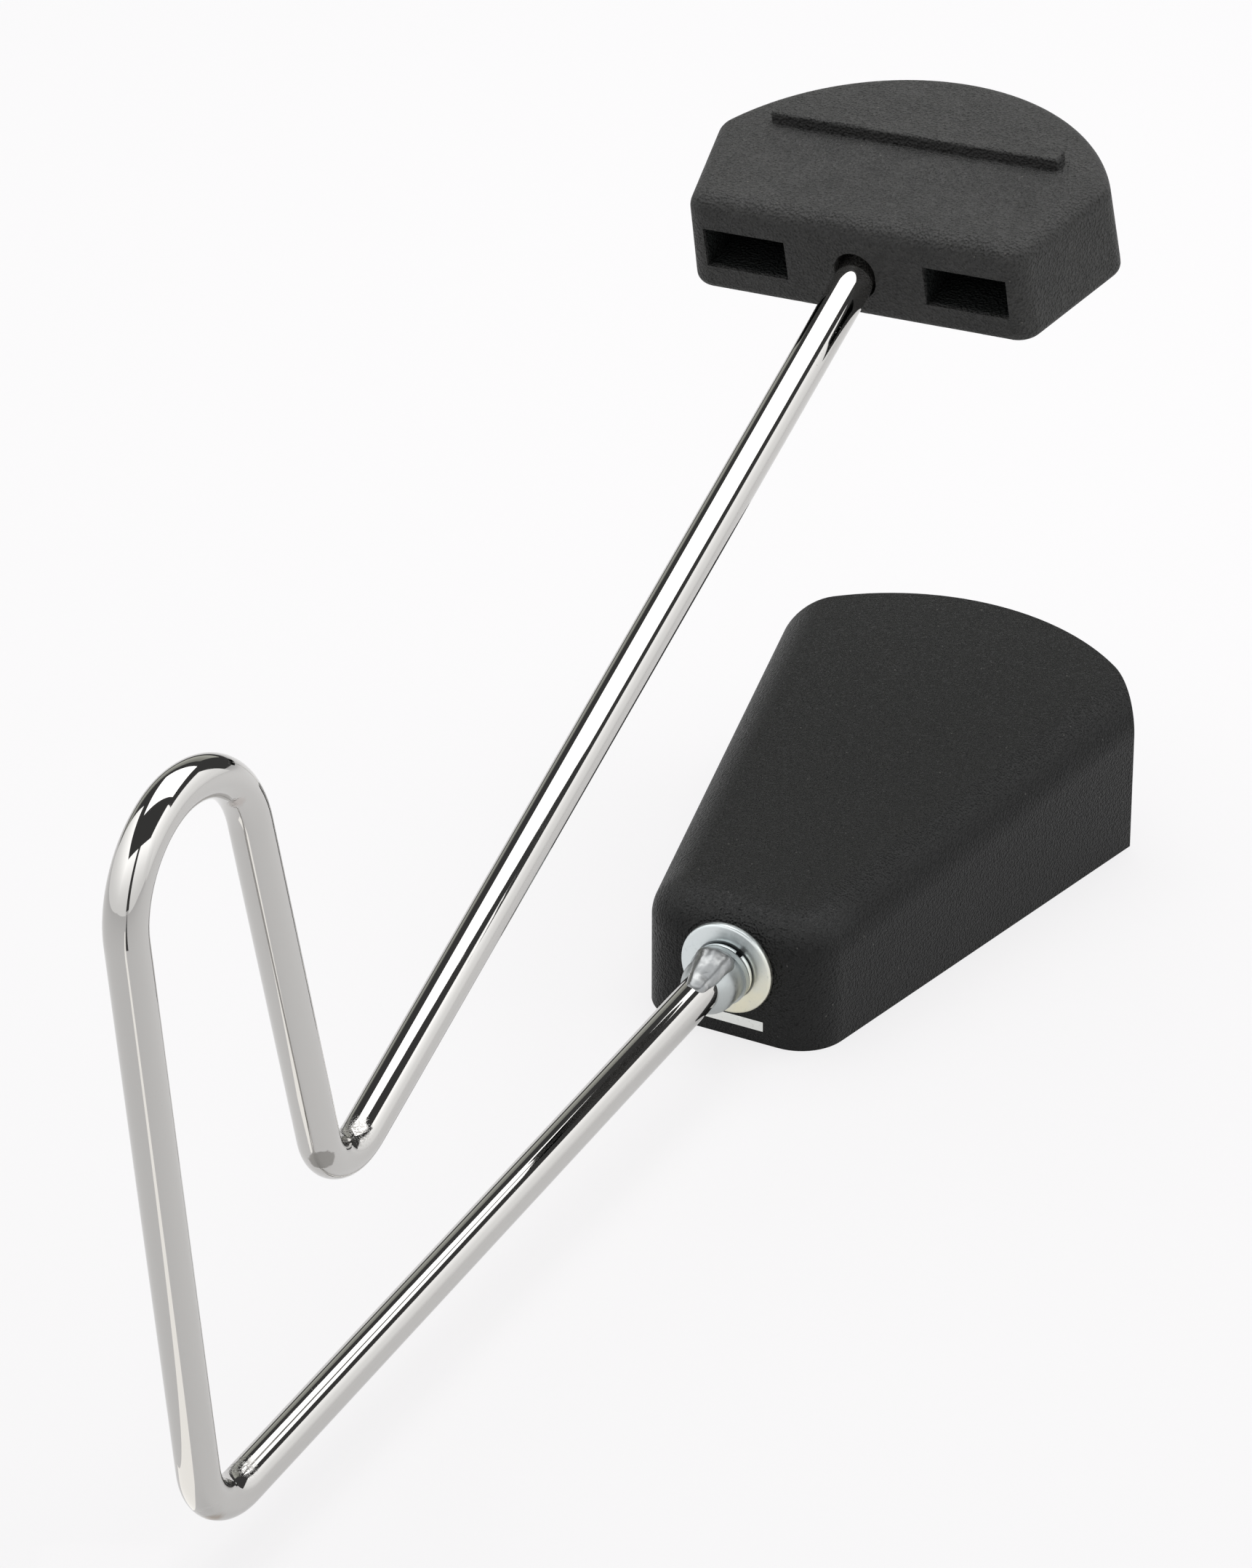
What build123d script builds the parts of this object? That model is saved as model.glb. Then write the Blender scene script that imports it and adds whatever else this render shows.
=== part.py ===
"""Vibraslap: a bent spring rod carries a rattle box at one end and a striker at the other.

Millimetres, +Z up. The origin lies on the box's flat underside, on the plane of symmetry that also
holds the rod. +X points out of the box's open mouth, the rod reaches away along -X.
"""
import os
from math import asin, cos, pi, radians, sin, tan

from build123d import *

# Rod: one round bar bent in the plane y = 0
ROD_D = 9.525                   # 3/8 in bar
LOWER_SLOPE = 1.46              # degrees the lower arm falls away from the box
FIRST_BEND = (-306.2, 14.4)     # where the straight arms would cross, as (x, z)
FIRST_BEND_R = 17.5             # bend radii are to the centre line
GRIP_REAR = (-331.7, 197.8)
GRIP_REAR_R = 21.5
GRIP_FORE = (-284.3, 194.7)
GRIP_FORE_R = 29.2
SECOND_BEND = (-250.4, 66.9)
SECOND_BEND_R = 14.2
ARM_SLOPE = 22.9                # degrees the long fourth arm rises
ARM_TO_STRIKER = 275.0          # from the second bend to the striker's face, along the arm
ROD_IN_STRIKER = 33.0

# Sound box: a flared shell, open at the wide end
BOX_FRONT_X = -60.0             # outer face of the narrow front wall
BOX_SIDE_L = 125.0              # front wall to the ends of the side walls
BOX_MOUTH_L = 148.0             # front wall to the crown of the curved mouth
BOX_FRONT_HALF = 23.3           # half the front's width, measured to the sharp corner
BOX_FLARE = 11.66               # degrees each side wall opens
BOX_FRONT_H = 34.6
BOX_RISE = 4.0                  # degrees the top climbs towards the mouth
BOX_WALL = 2.5
BOX_FLOOR = 3.4
BOX_CORNER_R = 12.3             # upright front corners
BOX_TOP_R = 12.0                # rounding between the top and the walls

# Bolt stack on the front wall, M8
BOLT_Z = 19.4
BOLT_D = 8.0
BOLT_HOLE_D = 8.6
BOLT_TAIL = 1.8                 # thread showing past the nut
HEAD_D = 14.0                   # barrel of the head, which ends in a half ball
HEAD_L = 5.9                    # lock washer to the ball's centre
HEAD_RIM_D = 15.2
HEAD_RIM_T = 1.8
WASHER_D = 24.0
WASHER_BORE_D = 8.4
WASHER_T = 2.0
LOCK_D = 15.0
LOCK_T = 2.0
LOCK_SPLIT = 1.6
LOCK_SPLIT_AT = 35.0            # degrees from upright, seen from outside
INNER_WASHER_D = 15.0
INNER_WASHER_T = 1.6
NUT_FLATS = 13.0
NUT_H = 6.5
NUT_BEVEL = 30.0                # degrees

# Weld bead: three tapered lumps fanned over the top of the joint
WELD_BACK_X = -8.6              # thick ends, from the front wall
WELD_BACK_R = 4.0
WELD_BACK_OUT = 4.5             # from the rod's axis to the lump's own
WELD_TIP_X = -19.0              # thin ends, from the front wall
WELD_TIP_R = 2.4
WELD_TIP_OUT = 3.4
WELD_SPREAD = 44.0              # degrees between lumps around the rod

# Rattle plate: tab through the front wall, ear behind it, floor strip, riser and leaf
PLATE_T = 2.6
TAB_W = 18.4
TAB_GAP = 0.25
STRIP_ROOT_HALF = 13.5
EAR_W = 17.0
EAR_CUT = 1.0                   # width of the cut that frees the ear from the strip
EAR_TOP = 23.6
RISER_X = 42.0                  # from the front wall
LEAF_Z = 18.0                   # underside of the leaf
LEAF_WIDE_HALF = 33.0
LEAF_WIDE_X = 78.0              # from the front wall
LEAF_END_X = 112.0
LEAF_CORNER_R = 5.0
PLATE_BEND_R = 2.0              # inside of each bend

# Rattle pins: loose headed pins standing in the leaf's holes
PIN_ROWS_X = (86.0, 100.0)      # from the front wall
PIN_PITCH = 11.0
PINS_PER_ROW = 6
PIN_D = 3.0
PIN_HOLE_D = 4.0
PIN_HEAD_D = 6.4
PIN_HEAD_H = 1.6
PIN_SHANK = 13.6                # between the heads
PIN_SEAT = 0.3                  # air under a resting head

# Striker: a moulded rubber block pushed on the rod's upper end
STRIKER_PITCH = 9.2             # degrees its top leans back from level
STRIKER_TURN = -3.3             # degrees it is turned about its own length
STRIKER_FRONT_HALF = 43.2
STRIKER_FLARE = 13.7            # degrees each side opens towards the back
STRIKER_DRAFT = 0.9             # how far the underside's outline stands out past the top's
STRIKER_SIDE_L = 33.9
STRIKER_L = 67.0
STRIKER_UP = 15.1               # block above the rod's axis
STRIKER_DOWN = 10.5             # block below it
STRIKER_TOP_R = 5.0
STRIKER_LOW_R = 2.5
STRIKER_CORNER_R = 6.0
STRIKER_BORE_FIT = 0.05
STRIKER_MOUTH_W = 10.6          # upright slot where the rod enters
STRIKER_MOUTH_RISE = 1.8
STRIKER_MOUTH_DEEP = 6.0
POCKET_IN = 18.1                # pocket's inner edge from the middle
POCKET_OUT = 39.6
POCKET_H = 10.4
POCKET_Z = 1.6                  # pocket's middle above the rod's axis
POCKET_DEEP = 24.0
RIB_AT = 34.9                   # rib's near side from the front face
RIB_W = 5.0
RIB_L = 75.4
RIB_H = 3.2
RIB_R = 0.8

# Sizes that follow from the ones above
FLARE_TAN = tan(radians(BOX_FLARE))
LOCK_X = BOX_FRONT_X - WASHER_T
HEAD_X = LOCK_X - LOCK_T
DOME_X = HEAD_X - HEAD_L
EAR_X = BOX_FRONT_X + BOX_WALL
INNER_WASHER_X = EAR_X + PLATE_T
NUT_X = INNER_WASHER_X + INNER_WASHER_T
BOLT_END_X = NUT_X + NUT_H + BOLT_TAIL
LEAF_TOP = LEAF_Z + PLATE_T
BOLT_AXIS = Plane(origin=(0, 0, BOLT_Z), x_dir=(0, 1, 0), z_dir=(1, 0, 0))


def along_bolt(x):
    """Drawing plane across the bolt at x, its own Z pointing into the box."""
    return BOLT_AXIS.offset(x)


def ring(x, outer, bore, thick):
    """Flat ring on the bolt, filling x to x + thick."""
    return extrude(along_bolt(x) * (Circle(outer / 2) - Circle(bore / 2)), thick)


def bent_path(corners, radii):
    """Centre line through the corners in the plane y = 0, each inner corner rounded."""
    points = [Vector(x, 0, z) for x, z in corners]
    edges = []
    start = points[0]
    for before, corner, after, radius in zip(points, points[1:], points[2:], radii):
        back = (before - corner).normalized()
        ahead = (after - corner).normalized()
        half = radians(back.get_angle(ahead) / 2)
        reach = radius / tan(half)
        middle = corner + (back + ahead).normalized() * (radius / sin(half) - radius)
        edges.append(Line(start, corner + back * reach))
        edges.append(ThreePointArc(corner + back * reach, middle, corner + ahead * reach))
        start = corner + ahead * reach
    edges.append(Line(start, points[-1]))
    return Wire(edges)


def up_the_arm(distance):
    """Point on the fourth arm's axis, as (x, z), so far from the second bend."""
    x, z = SECOND_BEND
    return x + distance * cos(radians(ARM_SLOPE)), z + distance * sin(radians(ARM_SLOPE))


def rod_start():
    """Where the lower arm's axis starts inside the bolt's head, as (x, z)."""
    x, z = FIRST_BEND
    start_x = DOME_X - HEAD_D / 4
    return start_x, z + (start_x - x) * tan(radians(LOWER_SLOPE))


def bolt_head():
    """Rim, barrel and half-ball end, turned about the bolt's axis."""
    ball_r = HEAD_D / 2
    rim_r = HEAD_RIM_D / 2
    halfway = ball_r * sin(radians(45))
    steps = Polyline((0, 0), (rim_r, 0), (rim_r, HEAD_RIM_T), (ball_r, HEAD_RIM_T), (ball_r, HEAD_L))
    ball = ThreePointArc((ball_r, HEAD_L), (halfway, HEAD_L + halfway), (0, HEAD_L + ball_r))
    axis = Line((0, HEAD_L + ball_r), (0, 0))
    outwards = Plane(origin=(HEAD_X, 0, BOLT_Z), x_dir=(0, 1, 0), z_dir=(-1, 0, 0))
    return outwards * revolve(Plane.XZ * make_face([*steps.edges(), ball, axis]), Axis.Z)


def make_bolt():
    """Bolt with a rimmed, ball-ended head outside the wall and a plain shank through it."""
    shank = extrude(along_bolt(HEAD_X) * Circle(BOLT_D / 2), BOLT_END_X - HEAD_X)
    thread_end = shank.edges().sort_by(Axis.X)[-1]
    return bolt_head() + chamfer(thread_end, BOLT_D / 10)


def make_rod(bolt):
    """The bent bar, its lower end coped to the bolt's head."""
    corners = [rod_start(), FIRST_BEND, GRIP_REAR, GRIP_FORE, SECOND_BEND,
               up_the_arm(ARM_TO_STRIKER + ROD_IN_STRIKER)]
    path = bent_path(corners, [FIRST_BEND_R, GRIP_REAR_R, GRIP_FORE_R, SECOND_BEND_R])
    section = Plane(origin=path @ 0, z_dir=path % 0) * Circle(ROD_D / 2)
    return sweep(section, path) - bolt


def beside_lower_arm(x, out, turn):
    """Point at x, so far from the lower arm's axis, turned about it from straight up."""
    start_x, start_z = rod_start()
    axis_z = start_z + (x - start_x) * tan(radians(LOWER_SLOPE))
    return Vector(x, out * sin(radians(turn)), axis_z + out * cos(radians(turn)))


def tapered_lump(back, back_r, tip, tip_r):
    """Two balls and the cone that touches both, turned about their common axis."""
    line = tip - back
    lean = asin((back_r - tip_r) / line.length)
    back_half = (lean - pi / 2) / 2
    tip_half = (lean + pi / 2) / 2
    back_touch = (back_r * cos(lean), back_r * sin(lean))
    tip_touch = (tip_r * cos(lean), line.length + tip_r * sin(lean))
    outline = [ThreePointArc((0, -back_r), (back_r * cos(back_half), back_r * sin(back_half)), back_touch),
               Line(back_touch, tip_touch),
               ThreePointArc(tip_touch, (tip_r * cos(tip_half), line.length + tip_r * sin(tip_half)),
                             (0, line.length + tip_r)),
               Line((0, line.length + tip_r), (0, -back_r))]
    return Plane(origin=back, z_dir=line.normalized()) * revolve(Plane.XZ * make_face(outline), Axis.Z)


def make_weld(rod):
    """Three run-together lumps over the top of the joint, cut to the rod and the bolt's head."""
    bead = Part()
    for turn in (-WELD_SPREAD, 0, WELD_SPREAD):
        back = beside_lower_arm(BOX_FRONT_X + WELD_BACK_X, WELD_BACK_OUT, turn)
        tip = beside_lower_arm(BOX_FRONT_X + WELD_TIP_X, WELD_TIP_OUT, turn)
        bead += tapered_lump(back, WELD_BACK_R, tip, WELD_TIP_R)
    return bead - rod - bolt_head()


def make_lock_washer():
    """Spring washer with its slanted split."""
    washer = ring(LOCK_X - LOCK_T, LOCK_D, WASHER_BORE_D, LOCK_T)
    split = Pos(LOCK_X - LOCK_T / 2, 0, BOLT_Z) * Rot(X=LOCK_SPLIT_AT)
    cutter = Pos(0, 0, LOCK_D / 2) * Rot(Z=25) * Box(3 * LOCK_T, LOCK_SPLIT, LOCK_D)
    return washer - split * cutter


def make_nut():
    """Hex nut inside the box, its corners bevelled on both faces."""
    body = extrude(along_bolt(NUT_X) * RegularPolygon(NUT_FLATS / 2, 6, major_radius=False), NUT_H)
    wide = NUT_FLATS / 2 + NUT_H / tan(radians(NUT_BEVEL))
    cone = Cone(NUT_FLATS / 2, wide, NUT_H)
    middle = Pos(NUT_X + NUT_H / 2, 0, BOLT_Z)
    body = body & (middle * Rot(Y=90) * cone) & (middle * Rot(Y=-90) * cone)
    return body - extrude(along_bolt(NUT_X) * Circle(BOLT_D / 2), NUT_H)


def half_width(distance, inset):
    """Half the box's width so far behind the front wall, drawn in by an inset."""
    return BOX_FRONT_HALF + distance * FLARE_TAN - inset / cos(radians(BOX_FLARE))


def flared_body(inset, floor, curved_mouth):
    """The box's outer or inner form: flared plan, rising top, rounded front corners and top edges."""
    front = half_width(inset, inset)
    if curved_mouth:
        end_x = BOX_SIDE_L
        end = half_width(end_x, inset)
        mouth = ThreePointArc((end_x, -end), (BOX_MOUTH_L, 0), (end_x, end))
    else:
        end_x = BOX_MOUTH_L + BOX_WALL
        end = half_width(end_x, inset)
        mouth = Line((end_x, -end), (end_x, end))
    sides = Polyline((end_x, end), (inset, front), (inset, -front), (end_x, -end))
    plan = Pos(BOX_FRONT_X, 0, floor) * make_face([*sides.edges(), mouth])
    body = extrude(plan, 2 * BOX_FRONT_H)
    corners = body.edges().filter_by(Axis.Z).sort_by(Axis.X)[:2]
    body = fillet(corners, BOX_CORNER_R - inset)
    drop = inset / cos(radians(BOX_RISE))
    lid = Plane(origin=(BOX_FRONT_X, 0, BOX_FRONT_H - drop), x_dir=(0, 1, 0),
                z_dir=(-sin(radians(BOX_RISE)), 0, cos(radians(BOX_RISE))))
    body = split(body, lid, keep=Keep.BOTTOM)
    rim = body.faces().sort_by(Axis.Z)[-1].edges().sort_by(Axis.X)[:-1]
    return fillet(rim, BOX_TOP_R - inset)


def make_sound_box():
    """Moulded shell with the bolt's hole and the slot for the plate's tab."""
    shell = flared_body(0, 0, True) - flared_body(BOX_WALL, BOX_FLOOR, False)
    hole = extrude(along_bolt(BOX_FRONT_X - BOX_WALL) * Circle(BOLT_HOLE_D / 2), 3 * BOX_WALL)
    slot = Pos(BOX_FRONT_X, 0, BOX_FLOOR) * Box(
        3 * BOX_WALL, TAB_W + 2 * TAB_GAP, PLATE_T + TAB_GAP, align=(Align.CENTER, Align.CENTER, Align.MIN))
    return shell - hole - slot


def pin_places():
    """Pin axes as (x, y), row by row."""
    first = -PIN_PITCH * (PINS_PER_ROW - 1) / 2
    return [(BOX_FRONT_X + row, first + PIN_PITCH * place) for row in PIN_ROWS_X for place in range(PINS_PER_ROW)]


def plate_strip():
    """The plate's bent side view, as wide as the leaf: floor strip, riser at 45 degrees, leaf."""
    miter = PLATE_T * tan(radians(45) / 2)
    foot_x = BOX_FRONT_X + RISER_X
    knee_x = foot_x + LEAF_Z - BOX_FLOOR
    end_x = BOX_FRONT_X + LEAF_END_X
    side = Polyline((BOX_FRONT_X, BOX_FLOOR), (foot_x, BOX_FLOOR), (knee_x, LEAF_Z), (end_x, LEAF_Z),
                    (end_x, LEAF_TOP), (knee_x - miter, LEAF_TOP), (foot_x - miter, BOX_FLOOR + PLATE_T),
                    (BOX_FRONT_X, BOX_FLOOR + PLATE_T), close=True)
    strip = extrude(Plane.XZ * make_face(side), LEAF_WIDE_HALF, both=True)
    bends = (((foot_x, 0, BOX_FLOOR), PLATE_T), ((knee_x, 0, LEAF_Z), 0),
             ((foot_x - miter, 0, BOX_FLOOR + PLATE_T), 0), ((knee_x - miter, 0, LEAF_TOP), PLATE_T))
    for corner, extra in bends:
        bend = strip.edges().filter_by(Axis.Y).sort_by_distance(corner)[0]
        strip = fillet(bend, PLATE_BEND_R + extra)
    return strip


def make_rattle_plate():
    """Bent steel plate: tab in the front slot, lanced ear under the nut, leaf with the pin holes."""
    inside_x = EAR_X + TAB_GAP
    wide_x = BOX_FRONT_X + LEAF_WIDE_X
    end_x = BOX_FRONT_X + LEAF_END_X
    half_outline = [(BOX_FRONT_X, TAB_W / 2), (inside_x, TAB_W / 2), (inside_x, STRIP_ROOT_HALF),
                    (wide_x, LEAF_WIDE_HALF), (end_x, LEAF_WIDE_HALF)]
    outline = half_outline + [(x, -y) for x, y in reversed(half_outline)]
    blank = extrude(make_face(Polyline(*outline, close=True)), BOX_FRONT_H)
    blank = fillet(blank.edges().filter_by(Axis.Z).sort_by(Axis.X)[-2:], LEAF_CORNER_R)
    low_front = (Align.MIN, Align.CENTER, Align.MIN)
    window = Pos(INNER_WASHER_X, 0, 0) * Box(EAR_TOP - BOX_FLOOR, EAR_W + 2 * EAR_CUT, BOX_FRONT_H, align=low_front)
    ear = Pos(EAR_X, 0, BOX_FLOOR) * Box(PLATE_T, EAR_W, EAR_TOP - BOX_FLOOR, align=low_front)
    notch = extrude(along_bolt(EAR_X - PLATE_T) * SlotCenterPoint((0, BOLT_D), (0, 0), BOLT_HOLE_D), 3 * PLATE_T)
    holes = [Pos(x, y, LEAF_Z) * Cylinder(PIN_HOLE_D / 2, 3 * PLATE_T) for x, y in pin_places()]
    return (plate_strip() & blank) - window + (ear - notch) - holes


def make_pin(x, y):
    """Headed at both ends; its upper head rests on the leaf."""
    upward = (Align.CENTER, Align.CENTER, Align.MIN)
    low = LEAF_TOP + PIN_SEAT - PIN_SHANK
    shank = Pos(x, y, low - PIN_HEAD_H / 2) * Cylinder(PIN_D / 2, PIN_SHANK + PIN_HEAD_H, align=upward)
    pin = shank
    for z, rim in ((low - PIN_HEAD_H, 0), (low + PIN_SHANK, -1)):
        head = Pos(x, y, z) * Cylinder(PIN_HEAD_D / 2, PIN_HEAD_H, align=upward)
        edge = head.edges().filter_by(GeomType.CIRCLE).sort_by(Axis.Z)[rim]
        pin += fillet(edge, PIN_HEAD_H / 2)
    return pin


def striker_plane():
    """The striker's own frame: origin where the rod enters, X deep into the block, Z towards its top."""
    x, z = up_the_arm(ARM_TO_STRIKER)
    return Pos(x, 0, z) * Rot(Y=-STRIKER_PITCH) * Rot(X=STRIKER_TURN)


def striker_outline(z, spread):
    """The striker's plan at one height: flared sides and a curved back, spread outwards by the draft."""
    front = STRIKER_FRONT_HALF + spread
    end = front + STRIKER_SIDE_L * tan(radians(STRIKER_FLARE))
    sides = Polyline((STRIKER_SIDE_L, end), (0, front), (0, -front), (STRIKER_SIDE_L, -end))
    back = ThreePointArc((STRIKER_SIDE_L, -end), (STRIKER_L + spread, 0), (STRIKER_SIDE_L, end))
    return Pos(0, 0, z) * make_face([*sides.edges(), back])


def striker_block():
    """Block between its two outlines, corners and edges rounded."""
    block = loft([striker_outline(-STRIKER_DOWN, STRIKER_DRAFT), striker_outline(STRIKER_UP, 0)])
    upright = [e for e in block.edges() if e.bounding_box().size.Z > STRIKER_UP]
    block = fillet(upright, STRIKER_CORNER_R)
    block = fillet(block.faces().sort_by(Axis.Z)[-1].edges(), STRIKER_TOP_R)
    return fillet(block.faces().sort_by(Axis.Z)[0].edges(), STRIKER_LOW_R)


def make_striker():
    """Block with its top rib, two front pockets, and the slot and bore that take the rod."""
    block = striker_block()
    rib = Pos(RIB_AT + RIB_W / 2, 0, STRIKER_UP) * Box(RIB_W, RIB_L, 2 * RIB_H)
    rib = fillet(rib.edges().filter_by(Axis.Z), RIB_R)
    rib = fillet(rib.faces().sort_by(Axis.Z)[-1].edges(), RIB_R)
    block += rib
    for side in (-1, 1):
        middle = side * (POCKET_IN + POCKET_OUT) / 2
        block -= Pos(0, middle, POCKET_Z) * Box(2 * POCKET_DEEP, POCKET_OUT - POCKET_IN, POCKET_H)
    entry_plane = Plane(origin=(-ROD_D, 0, 0), x_dir=(0, 1, 0), z_dir=(1, 0, 0))
    entry = SlotCenterPoint((0, STRIKER_MOUTH_RISE / 2), (0, 0), STRIKER_MOUTH_W)
    block -= extrude(entry_plane * entry, ROD_D + STRIKER_MOUTH_DEEP)
    face_x, face_z = up_the_arm(ARM_TO_STRIKER)
    bore = Cylinder(ROD_D / 2 + STRIKER_BORE_FIT, ROD_IN_STRIKER, align=(Align.CENTER, Align.CENTER, Align.MIN))
    return striker_plane() * block - Pos(face_x, 0, face_z) * Rot(Y=90 - ARM_SLOPE) * bore


def make_parts():
    """Every piece by node name."""
    bolt = make_bolt()
    rod = make_rod(bolt)
    parts = {
        "rod": rod,
        "weld_bead": make_weld(rod),
        "mounting_bolt": bolt,
        "lock_washer": make_lock_washer(),
        "flat_washer": ring(BOX_FRONT_X - WASHER_T, WASHER_D, WASHER_BORE_D, WASHER_T),
        "sound_box": make_sound_box(),
        "rattle_plate": make_rattle_plate(),
        "inner_washer": ring(INNER_WASHER_X, INNER_WASHER_D, WASHER_BORE_D, INNER_WASHER_T),
        "nut": make_nut(),
        "striker": make_striker(),
    }
    for number, (x, y) in enumerate(pin_places(), start=1):
        parts[f"rattle_pin_{number}"] = make_pin(x, y)
    return parts


os.makedirs("parts", exist_ok=True)
for node, shape in make_parts().items():
    export_step(shape, f"parts/{node}.step")
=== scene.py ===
"""Looks of the vibraslap: chrome rod, grained black box, rubber striker, zinc hardware, studio light."""
from math import ceil, cos, pi, radians, sin, tan

import bmesh
import bpy
from mathutils import Matrix, Quaternion, Vector, noise


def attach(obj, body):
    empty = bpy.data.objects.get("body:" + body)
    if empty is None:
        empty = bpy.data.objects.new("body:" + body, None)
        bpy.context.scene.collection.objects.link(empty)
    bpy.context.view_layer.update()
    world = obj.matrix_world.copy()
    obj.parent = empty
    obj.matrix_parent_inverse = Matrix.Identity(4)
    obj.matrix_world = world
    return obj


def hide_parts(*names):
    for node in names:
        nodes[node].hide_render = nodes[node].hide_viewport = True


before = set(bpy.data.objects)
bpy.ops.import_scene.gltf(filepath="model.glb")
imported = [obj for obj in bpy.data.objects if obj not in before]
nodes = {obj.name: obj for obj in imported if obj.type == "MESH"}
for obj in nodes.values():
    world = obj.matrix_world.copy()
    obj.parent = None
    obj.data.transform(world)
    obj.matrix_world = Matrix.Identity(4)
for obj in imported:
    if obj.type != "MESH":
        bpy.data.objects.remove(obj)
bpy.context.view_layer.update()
scene = bpy.context.scene

# Photograph's camera, in the part's frame, metres
IMAGE_W, IMAGE_H = 1722, 2156
CAMERA_AT = Vector((-1.391938, -0.670028, 0.943258))
CAMERA_RIGHT = Vector((0.46403, -0.88582, 0.0)).normalized()
CAMERA_AHEAD = Vector((0.76424, 0.40034, -0.50564)).normalized()
FOCAL_PX = 10113.82
SENSOR_MM = 36.0

# Level directions seen from the camera, and the part's middle, for placing lights
AHEAD = Vector((CAMERA_AHEAD.x, CAMERA_AHEAD.y, 0)).normalized()
RIGHT = CAMERA_RIGHT
UP = Vector((0, 0, 1))
MIDDLE = Vector((-0.10, 0, 0))

# Rod: radius, and the corners of its centre line as (x, z), with the bend radius at each inner one
ROD_R = 0.0047625
ROD_CORNERS = ((-0.0734, 0.02033), (-0.3062, 0.0144), (-0.3317, 0.1978), (-0.2843, 0.1947),
               (-0.2504, 0.0669), (0.0333, 0.18675))
ROD_BENDS = (0.0175, 0.0215, 0.0292, 0.0142)

# Rod's mesh: sides, spacing of its rings, and the slight waves in its skin
ROD_SIDES = 64
ROD_RING = 0.0008
ROD_WAVE = 0.00003
ROD_WAVES_PER_M = 70.0
ROD_SEED = 3.0

# Marks left on the rod by bending: middle, radius of the full mark, radius where it ends
PRESS_MARK = ((-0.25777, -0.00263, 0.0797), 0.0026, 0.0032)
FIRST_BEND_FACET = ((-0.30848, -0.00292, 0.02017), 0.0016, 0.0030)
FIRST_BEND_STAIN = ((-0.3063, -0.00207, 0.01676), 0.0006, 0.0032)
FIRST_BEND_INSIDE = ((-0.2906, 0.0006, 0.0195), 0.001, 0.005)
SECOND_BEND_INSIDE = ((-0.2409, 0.0, 0.0769), 0.001, 0.006)
GRIP_CREASE = ((-0.2889, -0.0030, 0.1848), 0.0008, 0.0026)

# Striker's own frame, where the rod enters it, and its two front pockets in that frame
STRIKER_AT = (0.00292, 0, 0.17392)
STRIKER_LEAN = (radians(-3.3), radians(-9.2), 0)
POCKET_MIDDLE_Y = 0.02885
POCKET_MIDDLE_Z = 0.0016
POCKET_HALF_W = 0.01075
POCKET_HALF_H = 0.0052
POCKET_DEEP = 0.024
# Depth behind the pocket rims at which their painted shade is full
POCKET_RIM = 0.0022

# Bolt stack on the box's front wall, places along x
BOLT_Z = 0.0194
WALL_X = -0.060
WASHER_R = 0.012
WASHER_BORE_R = 0.0042
WASHER_T = 0.002
WASHER_EDGE = 0.0007
LOCK_BACK = WALL_X - WASHER_T
LOCK_R = 0.0075
LOCK_T = 0.002
LOCK_EDGE = 0.0007
LOCK_SPLIT_AT = radians(35)
LOCK_SPLIT = radians(13)
LOCK_RISE = 0.0005

# Fineness of the turned rings: steps round, and degrees in each step of a rounded edge
TURN_STEPS = 120
EDGE_STEP_DEG = 18

# Two upright lines that the mould left on the box's front wall
MOULD_LINE_Y = 0.0142
MOULD_LINE_LOW = 0.006
MOULD_LINE_HIGH = 0.029
MOULD_LINE_DEEP = 0.00012

# Weld: three tapered lumps fanned over the top of the lower arm, closing and leaning over to their tips
WELD_TURNS = (radians(-22), 0.0, radians(22))
WELD_CLOSING = 0.45
WELD_BACK_LEAN = radians(-5)
WELD_TIP_LEAN = radians(-13)
WELD_BACK = Vector((-0.0684, 0, 0.02046))
WELD_TIP = Vector((-0.0795, 0, 0.02018))
WELD_BACK_R = 0.0033
WELD_TIP_R = 0.0019
WELD_BACK_OUT = 0.0050
WELD_TIP_OUT = 0.0037
WELD_BEADS = 12
WELD_VOXEL = 0.0003
WELD_SMOOTHING = 20
WELD_LUMPS_PER_M = 260
WELD_LUMP_HIGH = 0.00030
WELD_RIPPLES_PER_M = 700
WELD_RIPPLE_HIGH = 0.00005
WELD_SINK = 0.0001

# Studio: glow of the screens from foot to head and of the room, the floor's whites, and the soft fill
SOFTBOX_FOOT = 1.15
SCREEN_FOOT = 1.0
SCREEN_HEAD = 1.8
ROOM_HALF = 3
ROOM_HIGH = 3.2
ROOM_GLOW = 0.06
JUST_ABOVE_FLOOR = 0.001
FLOOR_HALF = 6
FLOOR_PALE = (0.97, 0.97, 0.97)
FLOOR_ROUGHNESS = 0.9
FLOOR_WHITE = (1.0, 0.992, 1.0)
FLOOR_OWN_WHITE = 0.78
FLOOR_WHITE_IN_METAL = 0.6
SOFT_FILL = 0.3
WHITE = (1.0, 1.0, 1.0)
WARM_WHITE = (1.0, 0.985, 0.955)
WALL_TINT = (1.0, 1.01, 0.92)


# Small helpers for meshes

def new_piece(name, mesh, material, node):
    """Finished mesh as a piece that stands for a node of the instrument's body."""
    mesh.materials.clear()
    mesh.materials.append(material)
    for face in mesh.polygons:
        face.use_smooth = True
    piece = bpy.data.objects.new(name, mesh)
    scene.collection.objects.link(piece)
    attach(piece, "instrument")
    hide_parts(node)


def finished_mesh(thing):
    """Plain mesh of an object with its modifiers; the object itself goes."""
    seen = thing.evaluated_get(bpy.context.evaluated_depsgraph_get())
    mesh = bpy.data.meshes.new_from_object(seen)
    bpy.data.objects.remove(thing)
    return mesh


def dress(node, material):
    """Give a CAD node one material."""
    mesh = nodes[node].data
    mesh.materials.clear()
    mesh.materials.append(material)


# Small helpers for material nodes

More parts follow.
